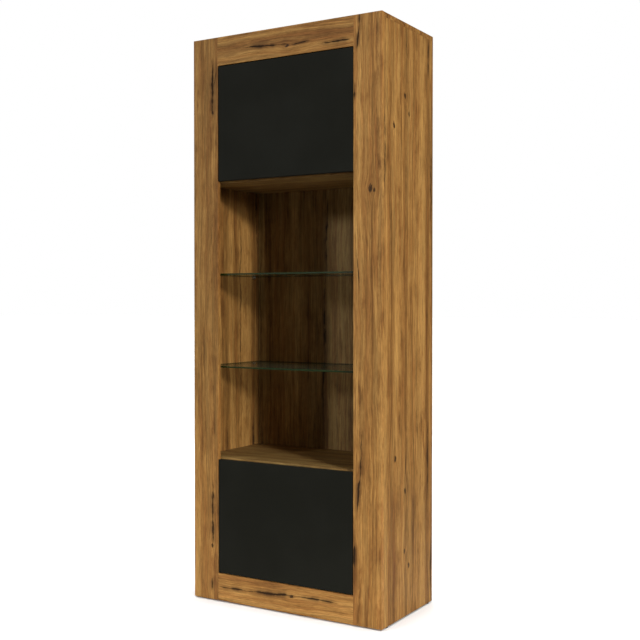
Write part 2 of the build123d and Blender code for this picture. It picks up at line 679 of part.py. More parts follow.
def plunger_place(name):
    """Tip of the plunger, looking at the door, held back by the closed door's strike plate."""
    tip = (LATCH_X, CARCASS_FRONT + STRIKE + STRIKE_PLAY, latch_plane_z(name))
    return facing([tip], (0, -1, 0))


def latch_plunger(name):
    """Sliding plunger with a pocket for its magnet."""
    with BuildPart() as plunger:
        with Locations(*plunger_place(name)):
            Cylinder(PLUNGER_R, PLUNGER_LENGTH, align=SINK)
            Hole(MAGNET_POCKET_R, MAGNET_DEPTH)
    return plunger.part


def latch_magnet(name):
    with BuildPart() as magnet:
        with Locations(*plunger_place(name)):
            Cylinder(MAGNET_POCKET_R - PIN_PLAY, MAGNET_DEPTH, align=SINK)
    return magnet.part


def strike_plate(name):
    """Round steel plate stuck to the back of the door, opposite the plunger."""
    with BuildPart() as plate:
        with Locations(*facing([(LATCH_X, CARCASS_FRONT, latch_plane_z(name))], (0, 1, 0))):
            Cylinder(STRIKE_R, STRIKE, align=RISE)
        chamfer(plate.faces().sort_by(Axis.Y)[-1].edges(), STRIKE_CHAMFER)
    return plate.part


# ---------------------------------------------------------------- the whole cabinet
def main():
    os.makedirs("parts", exist_ok=True)
    for side_name, side in SIDES.items():
        save(side_panel(side), f"{side_name}_side_panel")
        save(stile(side), f"{side_name}_stile")
    save(top_panel(), "top_panel")
    save(horizontal_board(BOTTOM_Z, CARCASS_FRONT, -1), "bottom_panel")
    save(horizontal_board(LOWER_SHELF_Z, SHELF_FRONT, -1), "lower_fixed_shelf")
    save(horizontal_board(UPPER_SHELF_Z, SHELF_FRONT, 1), "upper_fixed_shelf")
    save(back_panel(), "back_panel")
    save(rail("bottom"), "bottom_rail")
    save(rail("top"), "top_rail")

    for shelf, z in (("lower", LOWER_GLASS_Z), ("upper", UPPER_GLASS_Z)):
        save(glass_shelf(z), f"{shelf}_glass_shelf")
        save(shelf_supports(z), f"{shelf}_shelf_supports")
        save(shelf_pads(z), f"{shelf}_shelf_pads")

    save(cam_locks(), "cam_locks")
    save(cam_bolts(), "cam_bolts")
    save(wooden_dowels(), "wooden_dowels")
    save(rail_brackets(), "rail_brackets")
    save(wall_brackets(), "wall_brackets")
    save(screw_group(bracket_screw_places()), "bracket_screws")
    save(back_panel_nails(), "back_panel_nails")
    save(floor_glides(), "floor_glides")

    for name in DOORS:
        save(door(name), f"{name}_door")
        heights = hinge_heights(name)
        for place, z in heights.items():
            save(hinge_arm(z), f"{name}_door_{place}_hinge_arm")
            save(hinge_leaf(z), f"{name}_door_{place}_hinge_leaf")
            save(hinge_pin(z), f"{name}_door_{place}_hinge_pin")
        arm_points = [p for z in heights.values() for p in arm_screw_points(z)]
        leaf_points = [p for z in heights.values() for p in leaf_screw_points(z)]
        save(screw_group(facing(arm_points, (0, 1, 0))), f"{name}_hinge_arm_screws")
        save(screw_group(facing(leaf_points, (0, 1, 0))), f"{name}_hinge_leaf_screws")
        latch_screws = facing(latch_screw_points(name), (0, 0, -shelf_way(name)))
        save(latch_housing(name), f"{name}_latch_housing")
        save(screw_group(latch_screws), f"{name}_latch_screws")
        save(latch_plunger(name), f"{name}_latch_plunger")
        save(latch_magnet(name), f"{name}_latch_magnet")
        save(strike_plate(name), f"{name}_strike_plate")


main()
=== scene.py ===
"""Looks of the tall display cabinet: cracked-oak boards, matt black doors, clear glass shelves and
plated fittings, on a pale studio floor. Sizes and places are in metres, in the CAD model's own
frame: X to the right, Y from the front to the back, Z up from the floor. Colours are linear."""
import json
import math
from collections import namedtuple

import bpy
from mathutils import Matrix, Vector

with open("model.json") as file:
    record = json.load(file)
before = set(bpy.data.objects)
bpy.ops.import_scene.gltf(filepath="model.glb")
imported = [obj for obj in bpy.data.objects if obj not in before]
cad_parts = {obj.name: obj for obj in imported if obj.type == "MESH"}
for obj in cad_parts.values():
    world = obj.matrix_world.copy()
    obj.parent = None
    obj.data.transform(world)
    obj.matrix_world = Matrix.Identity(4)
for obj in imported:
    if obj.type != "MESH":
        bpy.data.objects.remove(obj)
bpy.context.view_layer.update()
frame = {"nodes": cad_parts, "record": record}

# The camera, on the right of the cabinet's front and just above its middle.
CAMERA_PLACE = Vector((1.9099, -3.1214, 1.0643))
CAMERA_AIM = Vector((0.0307, 0.0, 1.0020))
CAMERA_LENS = 57.627
CAMERA_SENSOR = 36.0

CABINET_MIDDLE = (0.0, 0.0, 1.0)
AXES = {"X": 0, "Y": 1, "Z": 2}
WHITE = (1.0, 1.0, 1.0)

# ---------------------------------------------------------------- oak: colours and layers
OAK_DARK = (0.116, 0.048, 0.012)
OAK_BROWN = (0.230, 0.103, 0.026)
OAK_GOLD = (0.340, 0.167, 0.043)
OAK_PALE = (0.460, 0.246, 0.070)
OAK_RED = (0.280, 0.114, 0.029)
OAK_OLIVE = (0.250, 0.139, 0.042)
CRACK = (0.026, 0.013, 0.005)
CRACK_STAIN = (0.090, 0.040, 0.012)
OAK_RAMP = [(0.36, OAK_DARK), (0.43, OAK_BROWN), (0.50, OAK_GOLD), (0.585, OAK_PALE)]

PLAIN_TINT = (1.0, 1.0, 1.0)
INSIDE_SHADE_TINT = (0.98, 1.17, 1.38)        # painted shade: the boards inside are made a little greyer than the outside, the colour of the shade in there

# Noise fields drawn out along the grain: cycles per metre across the grain and along it.
Layer = namedtuple("Layer", "across along detail roughness offset distortion")
BANDS = Layer(34.0, 0.9, 2.0, 0.5, 0.0, 0.3)
STRIPES = Layer(135.0, 3.4, 3.0, 0.62, 7.3, 0.4)
LINES = Layer(380.0, 12.0, 3.0, 0.62, 3.1, 0.5)
FIBRES = Layer(1250.0, 45.0, 2.0, 0.6, 11.9, 0.0)
MOTTLE = Layer(22.0, 9.0, 4.0, 0.68, 5.5, 0.0)
HUE = Layer(75.0, 2.0, 2.0, 0.5, 31.0, 0.3)
RINGS = Layer(62.0, 1.3, 2.0, 0.55, 43.0, 0.3)
PORES = Layer(1500.0, 55.0, 1.0, 0.5, 19.7, 0.0)
THROUGH_BOARD = 0.6                     # change through the board, as a share of that across the grain

BAND_SHARE, STRIPE_SHARE, MOTTLE_SHARE = 0.41, 0.29, 0.30
LINE_SHARE, FIBRE_SHARE = 0.60, 0.40

# Ways in which a field becomes a mask: field from, field to, mask from, mask to.
RED_HUES = (0.50, 0.66, 0.0, 0.50)
OLIVE_HUES = (0.47, 0.32, 0.0, 0.45)
BAND_BREAKS = (0.36, 0.56)
FINE_SHADE = (0.32, 0.68, 0.50, 1.48)
RING_EDGE = (0.016, 0.0)
RING_BREAKS = (0.46, 0.62, 0.0, 0.60)
PORE_EDGE = (0.62, 0.72)
PORE_BREAKS = (0.56, 0.42)
OAK_GLOSS = (0.3, 0.7, 0.62, 0.50)
PORE_DEPTH = 0.55

# Sideways wander of the grain.
Wave = namedtuple("Wave", "across along offset scale depth")
SLOW_BEND = Wave(2.2, 0.9, 0.0, 2.0, 0.034)
RIPPLE = Wave(9.0, 5.0, 4.7, 1.0, 0.016)

# Cracks.
WANDER_SCALE, WANDER_DEPTH = 9.0, 0.055
SWELL_SCALE, SWELL_OFFSET = 22.0, 2.6
SWELL = (0.30, 0.66, 0.30, 1.25)
CRACK_RAGGED = 0.0035
CRACK_TAPER = (1.0, 0.3)
CRACK_EDGE = (-0.15, 0.75)
STAIN_REACH = 4.5                       # crack widths
STAIN_DEPTH = 0.70
NOT_ZERO = 1e-5

# Knots.
KNOT_STRETCH = 1.7
KNOT_NOISE = (1.2, 0.8, 9.0)            # across, along, and along the board from knot to knot
KNOT_RAGGED = 4.0
KNOT_EDGE = (1.4, 0.0)
KNOT_RIM = (0.0, 0.7, 0.0, 0.85)
KNOT_HEART = (0.6, 1.0, 0.0, 0.75)
BEND_FADE, BEND_PUSH = 0.22, 0.9

# Tone along an upright board, and on faces that look along the board's width.
LOWER_HALF, UPPER_HALF = (0.25, 1.0), (1.0, 1.7)
EDGE_LIFT = (0.4, 0.8, 1.0, 1.14)

# Relief of the grain, the pores and the cracks, and the depth of their bump.
FINE_RELIEF, PORE_RELIEF, CRACK_RELIEF = 0.5, -0.5, 1.2
CRACK_DULLNESS = 0.3
OAK_SPECULAR = 0.15

# ---------------------------------------------------------------- oak: what each board shows
# A crack is (along from, along to, across from, across to, width), a knot (across, along, radius),
# and a streak or a band of sapwood (across, width, strength).
SIDE_CRACKS = (
    (1.99, 1.84, 0.154, 0.152, 0.0035), (1.70, 1.20, 0.172, 0.178, 0.0025),
    (0.66, 0.36, 0.152, 0.152, 0.0035), (0.25, 0.02, 0.181, 0.180, 0.0030),
    (1.94, 1.88, -0.021, -0.010, 0.0018), (0.62, 0.42, -0.016, -0.023, 0.0012))
RIGHT_SIDE_CRACK = (1.74, 1.38, -0.1755, -0.1755, 0.0026)
LEFT_SIDE_CRACK = (1.48, 0.60, 0.068, 0.070, 0.0013)
SIDE_KNOTS = (
    (-0.029, 1.752, 0.008), (0.002, 1.698, 0.006), (-0.110, 1.645, 0.008), (-0.098, 0.545, 0.008),
    (-0.028, 0.226, 0.006), (0.003, 0.172, 0.006), (-0.024, 0.429, 0.007))
SIDE_STREAKS = (
    (0.150, 0.022, 0.55), (-0.020, 0.018, 0.60), (0.032, 0.004, 0.80), (-0.115, 0.020, 0.40),
    (-0.128, 0.004, 0.75), (0.186, 0.012, 0.75))
SIDE_SAPWOOD = (
    (0.100, 0.040, 0.75), (0.060, 0.015, 0.45), (-0.164, 0.010, 0.70), (-0.070, 0.018, 0.45))

RIGHT_STILE_CRACKS = (
    (0.66, 0.34, 0.312, 0.287, 0.0040), (2.03, 1.86, 0.300, 0.286, 0.0030),
    (1.25, 1.08, 0.286, 0.300, 0.0014), (1.79, 1.72, 0.280, 0.279, 0.0040),
    (0.28, 0.19, 0.281, 0.278, 0.0040))
RIGHT_STILE_KNOTS = ((0.338, 1.435, 0.009), (0.352, 1.428, 0.005))
LEFT_STILE_CRACKS = (
    (1.93, 1.71, -0.296, -0.297, 0.0052), (0.44, 0.17, -0.297, -0.300, 0.0050),
    (1.89, 1.83, -0.281, -0.288, 0.0016), (0.085, 0.03, -0.302, -0.303, 0.0026))
LEFT_STILE_KNOTS = ((-0.296, 1.735, 0.005), (-0.301, 0.196, 0.005))

TOP_RAIL_CRACKS = (
    (-0.17, 0.04, 1.951, 1.937, 0.0042), (0.02, 0.12, 1.933, 1.940, 0.0020),
    (0.13, 0.28, 1.926, 1.923, 0.0034))
TOP_RAIL_KNOTS = ((1.934, 0.018, 0.006),)
BOTTOM_RAIL_CRACKS = (
    (-0.28, -0.12, 0.052, 0.054, 0.0030), (-0.17, 0.09, 0.053, 0.067, 0.0050),
    (0.05, 0.23, 0.067, 0.067, 0.0030))
BOTTOM_RAIL_KNOTS = ((0.063, 0.035, 0.006),)

BACK_CRACKS = ((1.49, 1.15, -0.052, -0.060, 0.0030), (1.20, 0.60, -0.060, -0.070, 0.0030))
BACK_KNOTS = ((0.105, 1.31, 0.007),)
BACK_STREAKS = ((-0.060, 0.012, 0.5), (0.180, 0.012, 0.3))

# ---------------------------------------------------------------- other colours
BLACK_DEEP, BLACK_HAZE = (0.0078, 0.0081, 0.0053), (0.0102, 0.0106, 0.0075)
BLACK_SPECULAR = 0.10
GLASS_FACE = (0.10, 0.17, 0.12)
GLASS_EDGE = (0.005, 0.016, 0.001), (0.011, 0.028, 0.003)
GLASS_IOR = 1.5
GLASS_HAZE, GLASS_MIRROR, GLASS_EDGE_ALPHA = 0.06, 0.45, 0.93
PAD_COLOURS = (0.55, 0.57, 0.55), (0.75, 0.77, 0.75)
PAD_ALPHA = 0.7
BEECH_COLOURS = (0.42, 0.25, 0.12), (0.62, 0.43, 0.25)
FIBRE_DARK, FIBRE_LIGHT = (0.085, 0.045, 0.021), (0.190, 0.110, 0.056)
FIBRE_CLUMP, FIBRE_CLOUD = (0.215, 0.130, 0.070), (0.082, 0.044, 0.022)

# ---------------------------------------------------------------- studio
FLOOR_HALF = 60.0
FLOOR_SEEN = (0.88, 0.88, 0.88), (0.91, 0.91, 0.91)
FLOOR_BOUNCE_NEAR, FLOOR_BOUNCE_FAR = (0.52, 0.50, 0.47), (0.08, 0.08, 0.08)
BOUNCE_REACH = (0.8, 2.8)               # distances from the cabinet between which the bounce fades
AMBIENT = 0.11
WARM, FAINTLY_WARM = (1.0, 0.98, 0.95), (1.0, 0.99, 0.98)


# ---------------------------------------------------------------- node trees
class Nodes:
    """Adds nodes to one tree. A socket or a plain value can be given wherever an input is wanted."""

    def __init__(self, tree):
        self.tree = tree

    def add(self, kind, inputs=(), **settings):
        node = self.tree.nodes.new(kind)
        for key, value in settings.items():
            setattr(node, key, value)
        for key, value in dict(inputs).items():
            self.feed(node.inputs[key], value)
        return node

    def feed(self, socket, value):
        if isinstance(value, bpy.types.NodeSocket):
            self.tree.links.new(value, socket)
        elif isinstance(value, tuple) and socket.type == "RGBA":
            socket.default_value = (*value, 1.0)
        else:
            socket.default_value = value

    def math(self, operation, *values, clamp=False):
        node = self.add("ShaderNodeMath", operation=operation, use_clamp=clamp)
        for socket, value in zip(node.inputs, values):
            self.feed(socket, value)
        return node.outputs[0]

    def plus(self, a, b):
        return self.math("ADD", a, b)

    def minus(self, a, b):
        return self.math("SUBTRACT", a, b)

    def times(self, a, b):
        return self.math("MULTIPLY", a, b)

    def over(self, a, b):
        return self.math("DIVIDE", a, b)

    def times_plus(self, a, b, c):
        """a times b, plus c."""
        return self.math("MULTIPLY_ADD", a, b, c)

    def most(self, a, b):
        return self.math("MAXIMUM", a, b)

    def unsigned(self, a):
        return self.math("ABSOLUTE", a)

    def axes(self, vector):
        return self.add("ShaderNodeSeparateXYZ", {0: vector}).outputs

    def vector(self, x, y, z):
        return self.add("ShaderNodeCombineXYZ", {0: x, 1: y, 2: z}).outputs[0]

    def here(self):
        """Position in the CAD frame, in metres."""
        return self.add("ShaderNodeTexCoord").outputs["Object"]

    def facing(self, axis):
        """How far the surface looks along an axis, from -1 to 1."""
        return self.axes(self.add("ShaderNodeNewGeometry").outputs["True Normal"])[AXES[axis]]

    def noise(self, vector, scale=1.0, detail=2.0, roughness=0.5, distortion=0.0):
        node = self.add("ShaderNodeTexNoise", {
            "Vector": vector, "Scale": scale, "Detail": detail,
            "Roughness": roughness, "Distortion": distortion})
        return node.outputs[0]

    def spread(self, value, low, high, to_low=0.0, to_high=1.0, smooth=True):
        """Maps low..high to to_low..to_high, and holds the ends."""
        node = self.add("ShaderNodeMapRange", {
            "Value": value, "From Min": low, "From Max": high, "To Min": to_low, "To Max": to_high},
            interpolation_type="SMOOTHSTEP" if smooth else "LINEAR")
        return node.outputs[0]

    def mix(self, factor, a, b, blend="MIX"):
        node = self.add("ShaderNodeMix", data_type="RGBA", blend_type=blend)
        self.feed(node.inputs[0], factor)
        self.feed(node.inputs[6], a)
        self.feed(node.inputs[7], b)
        return node.outputs[2]

    def ramp(self, value, stops):
        node = self.add("ShaderNodeValToRGB", {0: value})
        points = node.color_ramp.elements
        while len(points) < len(stops):
            points.new(0.5)
        for point, (place, colour) in zip(points, stops):
            point.position = place
            point.color = (*colour, 1.0)
        return node.outputs[0]

    def bump(self, height, strength, distance):
        return self.add("ShaderNodeBump", {
            "Height": height, "Strength": strength, "Distance": distance}).outputs[0]


def principled(material):
    return next(n for n in material.node_tree.nodes if n.type == "BSDF_PRINCIPLED")


def new_material(name):
    """A material with a Principled shader: (material, its Nodes, the shader)."""
    material = bpy.data.materials.new(name)
    material.use_nodes = True
    return material, Nodes(material.node_tree), principled(material)


def finish_shader(nodes, shader, **values):
    """Sets sockets of the shader; underscores stand for spaces."""
    for key, value in values.items():
        nodes.feed(shader.inputs[key.replace("_", " ").title()], value)


# ---------------------------------------------------------------- oak
def crack_masks(nodes, across, along, seed, cracks):
    """(core, stain) of the dark splits. Wander bends a crack's middle line, and swell makes it thin
    out and fill up again on its way."""
    wander = nodes.noise(nodes.vector(nodes.times(along, WANDER_SCALE), seed, 0.0),
                         detail=5.0, roughness=0.62)
    wander = nodes.minus(wander, 0.5)
    swell = nodes.noise(nodes.vector(nodes.times(along, SWELL_SCALE), seed + SWELL_OFFSET, 0.0))
    swell = nodes.spread(swell, *SWELL)
    core, stain = 0.0, 0.0
    for start, end, across_start, across_end, width in cracks:
        middle, half = (start + end) / 2, abs(end - start) / 2
        slope = (across_end - across_start) / (end - start)
        shift = nodes.minus(along, middle)
        line = nodes.times_plus(shift, slope, (across_start + across_end) / 2)
        line = nodes.times_plus(wander, half ** 0.5 * WANDER_DEPTH, line)
        gap = nodes.unsigned(nodes.minus(across, line))
        reach = nodes.unsigned(nodes.over(shift, half))
        taper = nodes.times(nodes.spread(reach, *CRACK_TAPER), swell)
        body = nodes.plus(nodes.times(taper, width), NOT_ZERO)
        inside = nodes.minus(1.0, nodes.over(gap, body))
        core = nodes.most(core, nodes.spread(inside, *CRACK_EDGE))
        halo = nodes.minus(1.0, nodes.over(gap, STAIN_REACH * width))
        stain = nodes.most(stain, nodes.times(nodes.spread(halo, 0.0, 1.0), taper))
    return core, stain


def knot_fields(nodes, across, along, knots):
    """(core, bend) of the knots. Bend pushes the grain round them."""
    core, bend = 0.0, 0.0
    noise_across, noise_along, noise_place = KNOT_NOISE
    for centre, place, radius in knots:
        dx = nodes.over(nodes.minus(across, centre), radius)
        dz = nodes.over(nodes.minus(along, place), radius * KNOT_STRETCH)
        square = nodes.plus(nodes.math("POWER", dx, 2.0), nodes.math("POWER", dz, 2.0))
        uneven = nodes.noise(nodes.vector(nodes.times(dx, noise_across), nodes.times(dz, noise_along),
                                          place * noise_place), detail=3.0, roughness=0.6)
        blotch = nodes.times_plus(nodes.minus(uneven, 0.5), KNOT_RAGGED, square)
        core = nodes.most(core, nodes.spread(blotch, *KNOT_EDGE))
        fade = nodes.over(1.0, nodes.times_plus(square, BEND_FADE, 1.0))
        bend = nodes.plus(bend, nodes.times(nodes.times(dx, fade), -radius * BEND_PUSH))
    return core, bend


def grain_sway(nodes, across, along, through, seed):
    """How far the grain wanders to the side: a long slow bend with short ripples."""
    sway = 0.0
    for wave in (SLOW_BEND, RIPPLE):
        vector = nodes.vector(nodes.times(across, wave.across), nodes.plus(through, seed + wave.offset),
                              nodes.times(along, wave.along))
        sway = nodes.times_plus(nodes.minus(nodes.noise(vector, wave.scale), 0.5), wave.depth, sway)
    return sway


def board_tone(nodes, along, facing, tone, tint):
    """What the board's colour is multiplied by. A tone is one number, or three for a board that
    changes from its low end to its middle and high end; on the boards inside it is painted shade."""
    low, middle, high = tone if isinstance(tone, tuple) else (tone, tone, tone)
    lift = nodes.spread(along, *LOWER_HALF, low, middle)
    lift = nodes.plus(lift, nodes.spread(along, *UPPER_HALF, 0.0, high - middle))
    lift = nodes.times(lift, nodes.spread(nodes.unsigned(facing), *EDGE_LIFT))
    return nodes.vector(*(nodes.times(lift, share) for share in tint))


def oak(name, along="Z", across="X", seed=0.0, tone=1.0, tint=PLAIN_TINT,
        cracks=(), knots=(), streaks=(), sapwood=()):
    """Oak pattern with its grain along one axis of the cabinet and its figure spread across another."""
    material, nodes, shader = new_material(name)
    place = nodes.axes(nodes.here())
    thick = (set(AXES) - {along, across}).pop()
    v, u, w = (place[AXES[axis]] for axis in (along, across, thick))

    knot_core, bend = knot_fields(nodes, u, v, knots)
    u_bent = nodes.plus(nodes.plus(u, bend), grain_sway(nodes, u, v, w, seed))

    def grain(layer):
        vector = nodes.vector(nodes.times(u_bent, layer.across),
                              nodes.times_plus(w, layer.across * THROUGH_BOARD, seed + layer.offset),
                              nodes.times(v, layer.along))
        return nodes.noise(vector, 1.0, layer.detail, layer.roughness, layer.distortion)

    stripes, lines, mottle, hue = grain(STRIPES), grain(LINES), grain(MOTTLE), grain(HUE)
    figure = nodes.times_plus(grain(BANDS), BAND_SHARE, nodes.times(stripes, STRIPE_SHARE))
    figure = nodes.plus(figure, nodes.times(mottle, MOTTLE_SHARE))
    colour = nodes.ramp(figure, OAK_RAMP)
    colour = nodes.mix(nodes.spread(hue, *RED_HUES), colour, OAK_RED)
    colour = nodes.mix(nodes.spread(hue, *OLIVE_HUES), colour, OAK_OLIVE)
    for shade, bands in ((OAK_DARK, streaks), (OAK_PALE, sapwood)):
        for centre, width, strength in bands:
            gap = nodes.unsigned(nodes.minus(u_bent, centre))
            inside = nodes.minus(1.0, nodes.over(gap, width))
            band = nodes.times(nodes.spread(inside, 0.0, 1.0), strength)
            band = nodes.times(band, nodes.spread(mottle, *BAND_BREAKS))
            colour = nodes.mix(band, colour, shade)

    fine = nodes.times_plus(lines, LINE_SHARE, nodes.times(grain(FIBRES), FIBRE_SHARE))
    shade = nodes.spread(fine, *FINE_SHADE, smooth=False)
    colour = nodes.mix(1.0, colour, nodes.vector(shade, shade, shade), "MULTIPLY")

    # thin growth lines, where a slow field crosses its middle
    ring = nodes.spread(nodes.unsigned(nodes.minus(grain(RINGS), 0.5)), *RING_EDGE)
    colour = nodes.mix(nodes.times(ring, nodes.spread(mottle, *RING_BREAKS)), colour, OAK_DARK)

    pores = nodes.times(nodes.spread(grain(PORES), *PORE_EDGE), nodes.spread(stripes, *PORE_BREAKS))
    colour = nodes.mix(nodes.times(pores, PORE_DEPTH), colour, OAK_DARK)

    ragged = nodes.times_plus(nodes.minus(lines, 0.5), CRACK_RAGGED, u)
    core, stain = crack_masks(nodes, ragged, v, seed, cracks)
    colour = nodes.mix(nodes.math("MULTIPLY", stain, STAIN_DEPTH, clamp=True), colour, CRACK_STAIN)
    colour = nodes.mix(nodes.spread(knot_core, *KNOT_RIM), colour, CRACK_STAIN)
    colour = nodes.mix(nodes.spread(knot_core, *KNOT_HEART), colour, CRACK)
    colour = nodes.mix(core, colour, CRACK)
    colour = nodes.mix(1.0, colour, board_tone(nodes, v, nodes.facing(across), tone, tint), "MULTIPLY")

    relief = nodes.times_plus(fine, FINE_RELIEF, nodes.times(pores, PORE_RELIEF))
    relief = nodes.minus(relief, nodes.times(core, CRACK_RELIEF))
    gloss = nodes.spread(fine, *OAK_GLOSS, smooth=False)
    finish_shader(nodes, shader, base_color=colour,
                  roughness=nodes.times_plus(core, CRACK_DULLNESS, gloss),
                  normal=nodes.bump(relief, strength=0.35, distance=0.0006))
    shader.inputs["Specular IOR Level"].default_value = OAK_SPECULAR
    return material


# ---------------------------------------------------------------- other materials
def black_front(name, seed):
    """Dead-matt black foil with a faint haze."""
    material, nodes, shader = new_material(name)
    here = nodes.here()
    haze = nodes.noise(here, scale=3.0 + seed, detail=3.0)
    skin = nodes.noise(here, scale=1600.0, roughness=0.6)
    finish_shader(nodes, shader,
                  base_color=nodes.mix(nodes.spread(haze, 0.35, 0.65), BLACK_DEEP, BLACK_HAZE),
                  roughness=nodes.spread(skin, 0.3, 0.7, 0.56, 0.66),
                  normal=nodes.bump(skin, strength=0.25, distance=0.00008))
    shader.inputs["Specular IOR Level"].default_value = BLACK_SPECULAR
    return material


def shelf_glass():
    """Clear float glass: faces nearly invisible, ground edges dark green."""
    material, nodes, shader = new_material("shelf_glass")
    edge = nodes.spread(nodes.unsigned(nodes.facing("Z")), 0.9, 0.5)
    green = nodes.mix(nodes.noise(nodes.here(), scale=40.0), *GLASS_EDGE)
    mirror = nodes.add("ShaderNodeFresnel", {"IOR": GLASS_IOR}).outputs[0]
    face_alpha = nodes.times_plus(mirror, GLASS_MIRROR, GLASS_HAZE)
    finish_shader(nodes, shader, base_color=nodes.mix(edge, GLASS_FACE, green),
                  roughness=nodes.times_plus(edge, 0.16, 0.04),
                  alpha=nodes.most(face_alpha, nodes.times(edge, GLASS_EDGE_ALPHA)))
    shader.inputs["IOR"].default_value = GLASS_IOR
    return material


def metal(name, colour, roughness, brushed=(1.0, 1.0, 1.0)):
    """Plated metal with fine drawn lines; brushed stretches them."""
    material, nodes, shader = new_material(name)
    place = nodes.axes(nodes.here())
    stretched = nodes.vector(*(nodes.times(p, s) for p, s in zip(place, brushed)))
    lines = nodes.noise(stretched, scale=900.0, detail=3.0, roughness=0.6)
    spots = nodes.noise(nodes.here(), scale=60.0, detail=3.0, roughness=0.6)
    dull = tuple(c * 0.72 for c in colour)
    wear = nodes.times_plus(lines, 0.6, nodes.times(spots, 0.4))
    finish_shader(nodes, shader, base_color=nodes.mix(wear, dull, colour),
                  roughness=nodes.spread(spots, 0.3, 0.7, roughness - 0.07, roughness + 0.08),
                  normal=nodes.bump(lines, strength=0.2, distance=0.0001))
    shader.inputs["Metallic"].default_value = 1.0
    return material


def plastic(name, colour):
    """Moulded plastic with a fine spark-eroded skin."""
    material, nodes, shader = new_material(name)
    here = nodes.here()
    skin = nodes.noise(here, scale=2200.0, roughness=0.6)
    cloud = nodes.noise(here, scale=45.0)
    light = tuple(c * 1.35 + 0.004 for c in colour)
    finish_shader(nodes, shader, base_color=nodes.mix(cloud, colour, light),
                  roughness=nodes.spread(skin, 0.3, 0.7, 0.39, 0.53),
                  normal=nodes.bump(skin, strength=0.3, distance=0.0001))
    return material


def soft_pad():
    """Translucent soft plastic under the glass."""
    material, nodes, shader = new_material("clear_pad")
    cloud = nodes.noise(nodes.here(), scale=300.0)
    finish_shader(nodes, shader, base_color=nodes.mix(cloud, *PAD_COLOURS),
                  roughness=nodes.spread(cloud, 0.3, 0.7, 0.25, 0.4), alpha=PAD_ALPHA)
    return material


def turned_beech():
    """Pale bare wood of the dowels."""
    material, nodes, shader = new_material("beech")
    fleck = nodes.noise(nodes.here(), scale=700.0, detail=3.0)
    finish_shader(nodes, shader, base_color=nodes.mix(fleck, *BEECH_COLOURS), roughness=0.6,
                  normal=nodes.bump(fleck, strength=0.3, distance=0.0002))
    return material


def back_sheet(inner):
    """Hardboard: the oak pattern on the face inside the cabinet, bare brown fibre on the wall side."""
    nodes, shader = Nodes(inner.node_tree), principled(inner)
    oak_colour = shader.inputs["Base Color"].links[0].from_socket
    here = nodes.here()
    fibre = nodes.noise(here, scale=420.0, detail=4.0, roughness=0.7)
    clumps = nodes.noise(here, scale=70.0, detail=4.0, roughness=0.65)
    cloud = nodes.noise(here, scale=5.0, detail=4.0, roughness=0.6)
    bare = nodes.mix(nodes.spread(fibre, 0.3, 0.7), FIBRE_DARK, FIBRE_LIGHT)
    bare = nodes.mix(nodes.spread(clumps, 0.46, 0.66, 0.0, 0.7), bare, FIBRE_CLUMP)
    bare = nodes.mix(nodes.spread(cloud, 0.42, 0.62, 0.0, 0.55), bare, FIBRE_CLOUD)
    not_front = nodes.spread(nodes.facing("Y"), -0.5, -0.4)
    nodes.feed(shader.inputs["Base Color"], nodes.mix(not_front, oak_colour, bare))
    return inner


# ---------------------------------------------------------------- boards
def side_oak(name, seed, tone, more_crack):
    """Side panel: upright grain, dark streaks towards the back and small knots in the middle."""
    return oak(name, "Z", "Y", seed, tone, cracks=(*SIDE_CRACKS, more_crack), knots=SIDE_KNOTS,
               streaks=SIDE_STREAKS, sapwood=SIDE_SAPWOOD)


def stile_oak(name, side, seed, tone, cracks, knots):
    """Stile: upright grain, with streaks and sapwood that mirror on the two sides of the cabinet."""
    streaks = ((side * 0.345, 0.006, 0.45), (side * 0.318, 0.012, 0.30))
    sapwood = ((side * 0.368, 0.012, 0.55), (side * 0.300, 0.012, 0.40))
    return oak(name, "Z", "X", seed, tone, cracks=cracks, knots=knots, streaks=streaks, sapwood=sapwood)


def dress(node, material):
    """Gives a CAD node one material."""
    data = frame["nodes"][node].data
    data.materials.clear()
    data.materials.append(material)
    for face in data.polygons:
        face.material_index = 0


def dress_boards():
    """Tones are set so that each board is as light as in the photograph; those of the boards inside
    paint their shade.
    """
    dress("right_side_panel", side_oak("oak_right_side", 1.7, (0.93, 1.04, 1.03), RIGHT_SIDE_CRACK))
    dress("left_side_panel", side_oak("oak_left_side", 4.2, 0.82, LEFT_SIDE_CRACK))
    dress("right_stile", stile_oak("oak_right_stile", 1, 2.9, (1.12, 1.0, 1.10),
                                   RIGHT_STILE_CRACKS, RIGHT_STILE_KNOTS))
    dress("left_stile", stile_oak("oak_left_stile", -1, 8.4, (1.10, 0.84, 0.88),
                                  LEFT_STILE_CRACKS, LEFT_STILE_KNOTS))
    dress("top_rail", oak("oak_top_rail", "X", "Z", 6.1, 1.0,
                          cracks=TOP_RAIL_CRACKS, knots=TOP_RAIL_KNOTS))
    dress("bottom_rail", oak("oak_bottom_rail", "X", "Z", 9.6, 1.17,
                             cracks=BOTTOM_RAIL_CRACKS, knots=BOTTOM_RAIL_KNOTS))
    dress("top_panel", oak("oak_top", "X", "Y", 12.3))
    dress("bottom_panel", oak("oak_bottom", "X", "Y", 15.8))
    # Painted shade: the fixed shelves are darker than the outside boards and take the inside tint, for
    # the shade inside the cabinet.
    dress("lower_fixed_shelf", oak("oak_lower_shelf", "X", "Y", 18.2, 0.78, INSIDE_SHADE_TINT))
    dress("upper_fixed_shelf", oak("oak_upper_shelf", "X", "Y", 21.4, 0.74, INSIDE_SHADE_TINT))
    # Painted shade: the back is darkened, most towards its top, for the shade under the upper fixed
    # shelf; it takes the inside tint too.
    back = oak("oak_back", "Z", "X", 24.7, (0.78, 0.70, 0.60), INSIDE_SHADE_TINT,
               cracks=BACK_CRACKS, knots=BACK_KNOTS, streaks=BACK_STREAKS)
    dress("back_panel", back_sheet(back))


